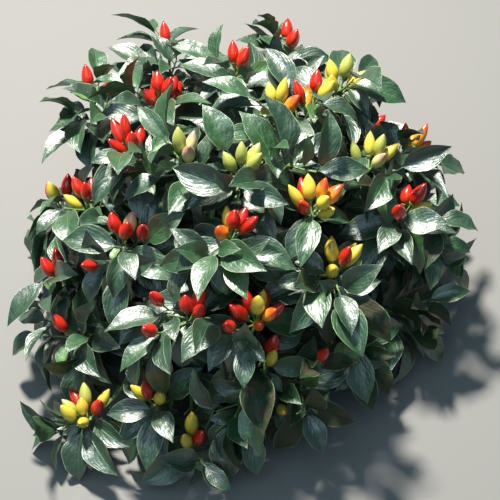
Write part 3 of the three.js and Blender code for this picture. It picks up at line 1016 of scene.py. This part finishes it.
def calculate(tree, operation, *values):
    inputs = {f"n{i}": value for i, value in enumerate(values)}
    return add_node(tree, "ShaderNodeMath", operation=operation, **inputs).outputs[0]


def times(tree, first, second):
    return calculate(tree, "MULTIPLY", first, second)


def times_plus(tree, value, scale, offset):
    return calculate(tree, "MULTIPLY_ADD", value, scale, offset)


def blend(tree, factor, first, second):
    """The first colour where the factor is 0, and the second where it is 1."""
    made = add_node(tree, "ShaderNodeMix", data_type="RGBA", n0=factor, n6=first, n7=second)
    return made.outputs[2]


def step_between(tree, value, low, high):
    """0 at the first limit and 1 at the second, with a soft step between."""
    made = add_node(
        tree, "ShaderNodeMapRange", interpolation_type="SMOOTHSTEP",
        Value=value, From_Min=low, From_Max=high)
    return made.outputs[0]


def place_on_map(tree):
    """How far across and along the piece's own UV map."""
    uv = add_node(tree, "ShaderNodeUVMap").outputs[0]
    return add_node(tree, "ShaderNodeSeparateXYZ", Vector=uv).outputs


def noise(tree, scale, detail=3.0):
    """Noise in the plant's own space, at a scale that says how often it repeats in a metre."""
    place = add_node(tree, "ShaderNodeTexCoord").outputs["Object"]
    made = add_node(tree, "ShaderNodeTexNoise", Vector=place, Scale=scale, Detail=detail)
    return made.outputs["Fac"]


COLOUR, NUMBER = "NodeSocketColor", "NodeSocketFloat"


def new_group(name, inputs):
    """A group with named inputs, and the inputs by name."""
    tree = bpy.data.node_groups.new(name, "ShaderNodeTree")
    for socket, kind in inputs.items():
        tree.interface.new_socket(socket, in_out="INPUT", socket_type=kind)
    return tree, tree.nodes.new("NodeGroupInput").outputs


def finish_group(tree, colour, roughness, height):
    """Puts out the colour, roughness and relief that vary over a surface."""
    results = {
        "Color": (COLOUR, colour), "Roughness": (NUMBER, roughness), "Height": (NUMBER, height),
    }
    for socket, (kind, _) in results.items():
        tree.interface.new_socket(socket, in_out="OUTPUT", socket_type=kind)
    result = tree.nodes.new("NodeGroupOutput")
    for socket, (_, value) in results.items():
        tree.links.new(value, result.inputs[socket])
    return tree


# The leaf blade. Edges are in shares of the blade's width, or of the way from vein to vein.
SIDE_VEINS, SIDE_VEIN_EDGES, SIDE_VEIN_STRENGTH = 5.4, (0.07, 0.01), 0.4
VEIN_ARCH, VEIN_CURL = 3.6, 8.0
VEIN_WANDER, VEIN_WANDER_SCALE = 1.9, 55.0
MIDRIB_EDGES, VEIN_STRENGTH = (0.03, 0.012), 0.55
# A pale band along the leaf's edge is a painted highlight, as of light catching the rim
EDGE_HIGHLIGHT_BAND, EDGE_HIGHLIGHT_STRENGTH = (0.468, 0.492), 0.7
MOTTLING_SCALE, MOTTLING_EDGES, MOTTLING_STRENGTH = 70.0, (0.3, 0.75), 0.16
DUST_SCALE, DUST_DETAIL, DUST_EDGES = 75.0, 6.0, (0.43, 0.6)
VEIN_SWELLING = 0.2
PUCKER_SCALE, PUCKER_HEIGHT = 150.0, 1.5
LEAF_GRAIN_SCALE, LEAF_GRAIN_HEIGHT = 620.0, 0.28
LEAF_ROUGHNESS, MOTTLED_ROUGHNESS, DUST_ROUGHNESS = 0.34, 0.24, 0.3


def blade_group():
    """The leaf blade: midrib, side veins with the blade swelling between, and a painted highlight
    along the edge.
    """
    tree, given = new_group("leaf blade", {
        "Blade": COLOUR, "Vein": COLOUR, "Margin": COLOUR, "Dust": COLOUR, "Dustiness": NUMBER,
    })
    place = place_on_map(tree)
    across = calculate(tree, "ABSOLUTE", calculate(tree, "SUBTRACT", place[0], 0.5))
    arch = times(tree, across, times_plus(tree, across, VEIN_CURL, VEIN_ARCH))
    straight = calculate(tree, "SUBTRACT", times(tree, place[1], SIDE_VEINS), arch)
    rib_number = times_plus(tree, noise(tree, VEIN_WANDER_SCALE, 1.0), VEIN_WANDER, straight)
    from_rib = calculate(tree, "PINGPONG", rib_number, 0.5)
    side_ribs = step_between(tree, from_rib, *SIDE_VEIN_EDGES)
    midrib = step_between(tree, across, *MIDRIB_EDGES)
    veins = calculate(tree, "MAXIMUM", midrib, times(tree, side_ribs, SIDE_VEIN_STRENGTH))
    # Painted highlight along the edge of the blade
    edge_highlight = step_between(tree, across, *EDGE_HIGHLIGHT_BAND)

    mottling = noise(tree, MOTTLING_SCALE)
    paler = step_between(tree, mottling, *MOTTLING_EDGES)
    shade = blend(tree, paler, given["Blade"], given["Vein"])
    base = blend(tree, MOTTLING_STRENGTH, given["Blade"], shade)
    veined = blend(tree, times(tree, veins, VEIN_STRENGTH), base, given["Vein"])
    # Paints the edge highlight over the veined blade
    edge_lit = blend(tree, times(tree, edge_highlight, EDGE_HIGHLIGHT_STRENGTH), veined, given["Margin"])
    patches = step_between(tree, noise(tree, DUST_SCALE, DUST_DETAIL), *DUST_EDGES)
    dust = times(tree, patches, given["Dustiness"])
    dusted = blend(tree, dust, edge_lit, given["Dust"])

    swelling = calculate(tree, "SINE", times(tree, from_rib, math.pi))
    creased = calculate(tree, "SUBTRACT", times(tree, swelling, VEIN_SWELLING), midrib)
    puckered = times_plus(tree, noise(tree, PUCKER_SCALE), PUCKER_HEIGHT, creased)
    height = times_plus(tree, noise(tree, LEAF_GRAIN_SCALE, 2.0), LEAF_GRAIN_HEIGHT, puckered)
    roughness = times_plus(tree, mottling, MOTTLED_ROUGHNESS, LEAF_ROUGHNESS)
    return finish_group(tree, dusted, times_plus(tree, dust, DUST_ROUGHNESS, roughness), height)


# A fruit's skin. Edges are in shares of the fruit's length.
DAPPLE_SCALE, DAPPLE_DETAIL, DAPPLE_WANDER = 120.0, 4.0, 0.5
SHOULDER_EDGES, SHOULDER_STRENGTH = (0.34, 0.06), 0.7
FLUSH_EDGES = (0.0, 0.35)
SKIN_ROUGHNESS, DAPPLED_ROUGHNESS = 0.18, 0.16
DENT_SCALE = 190.0


def skin_group():
    """A fruit's waxy skin: paler round the calyx, flushed towards the point, faintly dappled."""
    tree, given = new_group("fruit skin", {
        "Skin": COLOUR, "Shoulder": COLOUR, "Flush": COLOUR, "Flush Start": NUMBER,
    })
    dapples = noise(tree, DAPPLE_SCALE, DAPPLE_DETAIL)
    shift = calculate(tree, "SUBTRACT", dapples, 0.5)
    wavering = times_plus(tree, shift, DAPPLE_WANDER, place_on_map(tree)[1])
    shoulder = times(tree, step_between(tree, wavering, *SHOULDER_EDGES), SHOULDER_STRENGTH)
    based = blend(tree, shoulder, given["Skin"], given["Shoulder"])
    reach = calculate(tree, "SUBTRACT", wavering, given["Flush Start"])
    flushed = blend(tree, step_between(tree, reach, *FLUSH_EDGES), based, given["Flush"])
    roughness = times_plus(tree, dapples, DAPPLED_ROUGHNESS, SKIN_ROUGHNESS)
    return finish_group(tree, flushed, roughness, noise(tree, DENT_SCALE, 2.0))


# Bark and green skin, whose streaks run along a limb
STREAK_STRETCH, STREAK_EDGES = (14.0, 2.2, 1.0), (0.38, 0.66)
SPOT_SCALE, SPOT_EDGES, SPOT_STRENGTH, SPOT_HEIGHT = 420.0, (0.62, 0.7), 0.6, 0.3
STEM_ROUGHNESS, STREAKED_ROUGHNESS = 0.5, 0.3


def stem_group():
    """Bark or green skin: streaks along the limb, in colour and in relief, and paler spots."""
    tree, given = new_group("stem skin", {"Skin": COLOUR, "Streak": COLOUR, "Spots": COLOUR})
    uv = add_node(tree, "ShaderNodeUVMap").outputs[0]
    run = add_node(tree, "ShaderNodeMapping", Vector=uv, Scale=STREAK_STRETCH).outputs[0]
    streaks = add_node(
        tree, "ShaderNodeTexNoise", Vector=run, Scale=1.0, Detail=5.0, Distortion=0.4,
    ).outputs["Fac"]
    streaky = step_between(tree, streaks, *STREAK_EDGES)
    spots = step_between(tree, noise(tree, SPOT_SCALE, 1.0), *SPOT_EDGES)
    streaked = blend(tree, streaky, given["Skin"], given["Streak"])
    spotted = blend(tree, times(tree, spots, SPOT_STRENGTH), streaked, given["Spots"])
    roughness = times_plus(tree, streaks, STREAKED_ROUGHNESS, STEM_ROUGHNESS)
    return finish_group(tree, spotted, roughness, times_plus(tree, spots, SPOT_HEIGHT, streaks))


# Strength of each finish's relief, and its depth in metres
LEAF_BUMP = (0.75, 0.001)
FRUIT_BUMP = (0.14, 0.0006)
BARK_BUMP = (0.8, 0.001)
GREEN_BUMP = (0.4, 0.0005)
DUSTY_GLOSS = 0.2
UNDERSIDE_PALENESS = 0.35


def new_material(name, group, values, bump, **surface):
    """A surface that takes its colour, roughness and relief from a group. A value of three numbers
    is a colour."""
    material = bpy.data.materials.new(name)
    material.use_nodes = True
    tree = material.node_tree
    surface_node = tree.nodes["Principled BSDF"]
    pattern = tree.nodes.new("ShaderNodeGroup")
    pattern.node_tree = group
    for socket, value in values.items():
        is_colour = isinstance(value, tuple)
        pattern.inputs[socket].default_value = (*value, 1) if is_colour else value
    tree.links.new(pattern.outputs["Color"], surface_node.inputs["Base Color"])
    tree.links.new(pattern.outputs["Roughness"], surface_node.inputs["Roughness"])
    strength, depth = bump
    relief = add_node(
        tree, "ShaderNodeBump", Strength=strength, Distance=depth, Height=pattern.outputs["Height"])
    tree.links.new(relief.outputs[0], surface_node.inputs["Normal"])
    for socket, value in surface.items():
        surface_node.inputs[socket.replace("_", " ")].default_value = value
    return material


def leaf_material(name, blade, vein, dustiness):
    """A leaf, paler beneath, and glossy unless dust lies on it."""
    gloss = DUSTY_GLOSS if dustiness else 1.0
    # The pale edge colour is a painted highlight along the leaf's edge
    values = {
        "Blade": blade, "Vein": vein, "Margin": (0.3, 0.36, 0.2), "Dust": (0.062, 0.049, 0.027),
        "Dustiness": dustiness,
    }
    material = new_material(
        name, BLADE, values, LEAF_BUMP, Specular_IOR_Level=gloss, IOR=1.64,
        Coat_Weight=0.16 * gloss, Coat_Roughness=0.38,
    )
    tree = material.node_tree
    surface = tree.nodes["Principled BSDF"]
    upper = surface.inputs["Base Color"].links[0].from_socket
    under = blend(tree, UNDERSIDE_PALENESS, upper, (*vein, 1))
    beneath = add_node(tree, "ShaderNodeNewGeometry").outputs["Backfacing"]
    tree.links.new(blend(tree, beneath, upper, under), surface.inputs["Base Color"])
    return material


def bark_material():
    values = {"Skin": (0.23, 0.17, 0.1), "Streak": (0.36, 0.3, 0.2), "Spots": (0.42, 0.38, 0.28)}
    return new_material("stem bark", STEM, values, BARK_BUMP, Specular_IOR_Level=0.3)


def green_stem_material(name):
    values = {"Skin": (0.09, 0.17, 0.045), "Streak": (0.15, 0.25, 0.07), "Spots": (0.26, 0.36, 0.14)}
    return new_material(name, STEM, values, GREEN_BUMP, Specular_IOR_Level=0.45)


def fruit_material(name, skin, shoulder, flush, flush_start):
    values = {"Skin": skin, "Shoulder": shoulder, "Flush": flush, "Flush Start": flush_start}
    return new_material(
        name, SKIN, values, FRUIT_BUMP, Specular_IOR_Level=0.6, Coat_Weight=0.25)


# The stage

def make_floor():
    bm = bmesh.new()
    bmesh.ops.create_grid(bm, x_segments=1, y_segments=1, size=FLOOR_SIZE)
    mesh = bpy.data.meshes.new("floor")
    bm.to_mesh(mesh)
    bm.free()
    floor = bpy.data.objects.new("floor", mesh)
    material = bpy.data.materials.new("pale floor")
    material.use_nodes = True
    surface = material.node_tree.nodes["Principled BSDF"]
    surface.inputs["Base Color"].default_value = FLOOR_COLOUR
    surface.inputs["Roughness"].default_value = FLOOR_ROUGHNESS
    mesh.materials.append(material)
    bpy.context.scene.collection.objects.link(floor)


def make_light(name, place, width, power, colour):
    lamp = bpy.data.lights.new(name, "AREA")
    lamp.shape = "DISK"
    lamp.size = width
    lamp.energy = power
    lamp.color = colour
    light = bpy.data.objects.new(name, lamp)
    light.location = place
    light.rotation_mode = "QUATERNION"
    light.rotation_quaternion = (LAMP_TARGET - Vector(place)).to_track_quat("-Z", "Y")
    bpy.context.scene.collection.objects.link(light)


def make_lights():
    for name, (place, width, power, colour) in LAMPS.items():
        make_light(name, place, width, power, colour)
    world = bpy.data.worlds.new("studio")
    world.use_nodes = True
    backdrop = world.node_tree.nodes["Background"]
    backdrop.inputs["Color"].default_value = SKY_COLOUR
    backdrop.inputs["Strength"].default_value = SKY_STRENGTH
    bpy.context.scene.world = world
    bpy.context.scene.view_settings.view_transform = "Standard"


def make_camera():
    lens = bpy.data.cameras.new("camera")
    lens.sensor_width = SENSOR_WIDTH
    lens.lens = FOCAL_SHARE * SENSOR_WIDTH
    camera = bpy.data.objects.new("camera", lens)
    back = Vector((0, -math.cos(VIEW_PITCH), math.sin(VIEW_PITCH)))
    camera.location = VIEW_TARGET + back * VIEW_DISTANCE
    camera.rotation_mode = "QUATERNION"
    camera.rotation_quaternion = (-back).to_track_quat("-Z", "Y")
    bpy.context.scene.collection.objects.link(camera)
    bpy.context.scene.camera = camera


# What is taken by anything grown, by the open air above the bunches, and by fruit alone
room, open_air, fruit_space = Room(), Room(), Room()
leaves, fruits = [], []
plant = plan_plant()
grow_all()

BLADE, SKIN, STEM = blade_group(), skin_group(), stem_group()
make_stem_and_boughs()
make_branches()
make_shoots()
make_pedicels()

# Each tone's slot, blade, veins and share of dust
LEAF_TONES = {
    "deep": ("foliage", (0.004, 0.032, 0.011), (0.055, 0.15, 0.055), 0.0),
    "green": ("foliage", (0.006, 0.048, 0.011), (0.07, 0.18, 0.05), 0.0),
    # Painted glow of light shining through the leaf from behind
    "fresh": ("foliage", (0.017, 0.078, 0.009), (0.11, 0.24, 0.045), 0.0),
    "young": ("young_leaf", (0.06, 0.17, 0.025), (0.22, 0.36, 0.1), 0.0),
    "dusty": ("dusty_leaf", (0.012, 0.034, 0.014), (0.055, 0.085, 0.035), 0.7),
}
for tone, (slot, blade, vein, dustiness) in LEAF_TONES.items():
    piece = make_leaves(tone, leaf_material(f"{tone} leaf", blade, vein, dustiness))
    if tone == "deep":
        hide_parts(*[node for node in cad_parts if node.startswith("foliage_")])

# Each colour's skin, shoulder and flush, and how far along the flush starts
FRUIT_SKINS = {
    "R": ((0.52, 0.018, 0.006), (0.56, 0.06, 0.008), (0.4, 0.008, 0.006), 0.62),
    "O": ((0.75, 0.24, 0.012), (0.7, 0.42, 0.03), (0.68, 0.07, 0.008), 0.46),
    "Y": ((0.57, 0.45, 0.045), (0.42, 0.41, 0.08), (0.63, 0.38, 0.03), 0.72),
    "G": ((0.33, 0.36, 0.07), (0.24, 0.3, 0.05), (0.42, 0.4, 0.1), 0.75),
    "B": ((0.58, 0.5, 0.19), (0.5, 0.47, 0.12), (0.5, 0.23, 0.19), 0.5),
}
for colour, (skin, shoulder, flush, flush_start) in FRUIT_SKINS.items():
    name = FRUIT_SLOTS[colour].replace("_", " ")
    make_fruits(colour, fruit_material(name, skin, shoulder, flush, flush_start))

make_floor()
make_lights()
make_camera()
